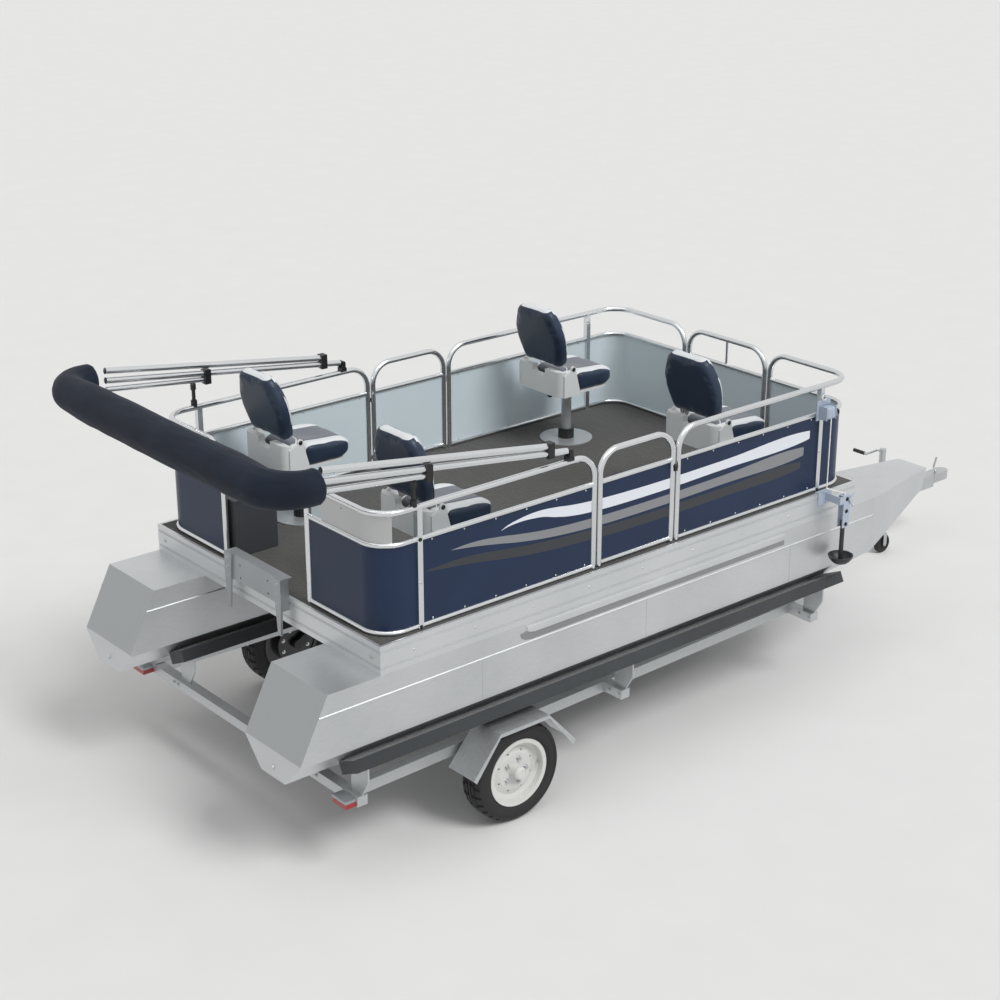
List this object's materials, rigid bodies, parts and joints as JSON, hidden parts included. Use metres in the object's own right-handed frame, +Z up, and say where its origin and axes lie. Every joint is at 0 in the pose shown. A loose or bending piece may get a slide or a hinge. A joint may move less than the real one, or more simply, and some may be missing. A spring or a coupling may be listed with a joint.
{
  "type": "pontoon boat on a trailer",
  "caption": "Small aluminium pontoon fishing boat with navy fence panels, swivel seats and a folded bimini, parked on its trailer.",
  "frame": {"origin": "on the ground below the middle of the length, at the bottom centre of the bounding box", "axes": "+X to the bow and the trailer's coupler, +Y to port, +Z up"},
  "size_m": [6.22, 2.2756, 2.172],
  "materials": {
    "pontoon_aluminium": "milled and pressed sheet",
    "beam_aluminium": "extruded, dull",
    "deck_boards": "ribbed vinyl over boards",
    "edge_aluminium": "extruded, satin",
    "rail_aluminium": "anodised tube",
    "navy_sheet": "gloss paint with plain stripes",
    "grey_plate": "satin paint",
    "locker_plastic": "moulded, grained",
    "black_plastic": "moulded",
    "shell_white": "moulded",
    "seat_vinyl": "vinyl in navy, grey and white",
    "navy_canvas": "acrylic canvas",
    "post_steel": "brushed",
    "gear_paint": "blue-grey paint",
    "anchor_coating": "dipped coating",
    "white_rope": "braided cord",
    "galvanised_steel": "galvanised",
    "bunk_carpet": "carpet over timber",
    "axle_steel": "black paint",
    "lamp_red": "moulded lens",
    "zinc_steel": "zinc plated",
    "rim_white": "white enamel",
    "tyre_rubber": "moulded tread",
    "caster_rubber": "moulded"
  },
  "bodies": {
    "boat": {"pontoons": "pontoon_aluminium", "deck_beams": "beam_aluminium", "deck_floor": "deck_boards", "deck_edge": "edge_aluminium", "motor_bracket": "beam_aluminium", "stern_locker": "locker_plastic", "fence_aft": "rail_aluminium", "fence_bow": "rail_aluminium", "skins_aft": "navy_sheet", "skins_bow": "navy_sheet", "infill_plate": "grey_plate", "bimini_mounts": "black_plastic", "seat_posts": "post_steel", "seat_collars": "black_plastic", "anchor_davit": "gear_paint", "anchor_winch": "gear_paint", "anchor_rope": "white_rope", "anchor": "anchor_coating", "trailer_frame": "galvanised_steel", "bunks": "bunk_carpet", "bunk_brackets": "galvanised_steel", "axle": "axle_steel", "fenders": "galvanised_steel", "tail_lights": "lamp_red", "coupler": "zinc_steel", "jack_tube": "zinc_steel"},
    "lid": {"locker_lid": "locker_plastic"},
    "port_gate": {"gate_port": "rail_aluminium", "gate_port_skin": "navy_sheet"},
    "starboard_gate": {"gate_starboard": "rail_aluminium", "gate_starboard_skin": "navy_sheet"},
    "bow_gate": {"gate_bow": "rail_aluminium", "gate_bow_skin": "navy_sheet"},
    "bimini": {"bimini_bows": "rail_aluminium", "bimini_fittings": "black_plastic", "bimini_cover": "navy_canvas"},
    "seat_1": {"seat_1_shell": "shell_white", "seat_1_pad": "seat_vinyl"},
    "back_1": {"seat_1_back": "seat_vinyl"},
    "seat_2": {"seat_2_shell": "shell_white", "seat_2_pad": "seat_vinyl"},
    "back_2": {"seat_2_back": "seat_vinyl"},
    "seat_3": {"seat_3_shell": "shell_white", "seat_3_pad": "seat_vinyl"},
    "back_3": {"seat_3_back": "seat_vinyl"},
    "seat_4": {"seat_4_shell": "shell_white", "seat_4_pad": "seat_vinyl"},
    "back_4": {"seat_4_back": "seat_vinyl"},
    "port_wheel": {"wheel_port_rim": "rim_white", "wheel_port_tyre": "tyre_rubber"},
    "starboard_wheel": {"wheel_starboard_rim": "rim_white", "wheel_starboard_tyre": "tyre_rubber"},
    "leg": {"jack_leg": "zinc_steel"},
    "fork": {"jack_fork": "zinc_steel"},
    "caster": {"jack_wheel": "caster_rubber"},
    "crank": {"jack_crank": "zinc_steel"}
  },
  "joints": [
    {"name": "lid_hinge", "type": "hinge", "parent": "boat", "child": "lid", "pos_m": [-2.29, 0.82, 1.4873], "axis": [-1, 0, 0], "range_deg": [0, 85]},
    {"name": "port_gate_hinge", "type": "hinge", "parent": "boat", "child": "port_gate", "pos_m": [-1.085, 0.927, 1.187], "axis": [0, 0, -1], "range_deg": [0, 90]},
    {"name": "starboard_gate_hinge", "type": "hinge", "parent": "boat", "child": "starboard_gate", "pos_m": [-1.085, -0.927, 1.187], "axis": [0, 0, 1], "range_deg": [0, 90]},
    {"name": "bow_gate_hinge", "type": "hinge", "parent": "boat", "child": "bow_gate", "pos_m": [0.827, 0.33, 1.187], "axis": [0, 0, -1], "range_deg": [0, 90]},
    {"name": "bimini_lift", "type": "hinge", "parent": "boat", "child": "bimini", "pos_m": [-1.275, 0, 1.863], "axis": [0, 1, 0], "range_deg": [0, 75]},
    {"name": "seat_1_swivel", "type": "hinge", "parent": "boat", "child": "seat_1", "pos_m": [-1.82, 0.6, 1.527], "axis": [0, 0, 1], "continuous": true},
    {"name": "seat_1_fold", "type": "hinge", "parent": "seat_1", "child": "back_1", "pos_m": [-1.95, 0.6, 1.691], "axis": [0, 1, 0], "range_deg": [0, 95]},
    {"name": "seat_2_swivel", "type": "hinge", "parent": "boat", "child": "seat_2", "pos_m": [-1.82, -0.6, 1.527], "axis": [0, 0, 1], "continuous": true},
    {"name": "seat_2_fold", "type": "hinge", "parent": "seat_2", "child": "back_2", "pos_m": [-1.95, -0.6, 1.691], "axis": [0, 1, 0], "range_deg": [0, 95]},
    {"name": "seat_3_swivel", "type": "hinge", "parent": "boat", "child": "seat_3", "pos_m": [0.135, 0.625, 1.527], "axis": [0, 0, 1], "continuous": true},
    {"name": "seat_3_fold", "type": "hinge", "parent": "seat_3", "child": "back_3", "pos_m": [0.005, 0.625, 1.691], "axis": [0, 1, 0], "range_deg": [0, 95]},
    {"name": "seat_4_swivel", "type": "hinge", "parent": "boat", "child": "seat_4", "pos_m": [0.135, -0.625, 1.527], "axis": [0, 0, 1], "continuous": true},
    {"name": "seat_4_fold", "type": "hinge", "parent": "seat_4", "child": "back_4", "pos_m": [0.005, -0.625, 1.691], "axis": [0, 1, 0], "range_deg": [0, 95]},
    {"name": "port_wheel_spin", "type": "hinge", "parent": "boat", "child": "port_wheel", "pos_m": [-1.7, 1.01, 0.27], "axis": [0, 1, 0], "continuous": true},
    {"name": "starboard_wheel_spin", "type": "hinge", "parent": "boat", "child": "starboard_wheel", "pos_m": [-1.7, -1.01, 0.27], "axis": [0, 1, 0], "continuous": true},
    {"name": "jack_lift", "type": "slide", "parent": "boat", "child": "leg", "axis": [0, 0, 1], "range_m": [0, 0.2]},
    {"name": "jack_swivel", "type": "hinge", "parent": "leg", "child": "fork", "pos_m": [2.41, 0, 0.14], "axis": [0, 0, 1], "continuous": true},
    {"name": "jack_wheel_spin", "type": "hinge", "parent": "fork", "child": "caster", "pos_m": [2.47, 0, 0.065], "axis": [0, 1, 0], "continuous": true},
    {"name": "jack_crank_turn", "type": "hinge", "parent": "boat", "child": "crank", "pos_m": [2.41, 0.026, 0.733], "axis": [0, 1, 0], "continuous": true}
  ]
}
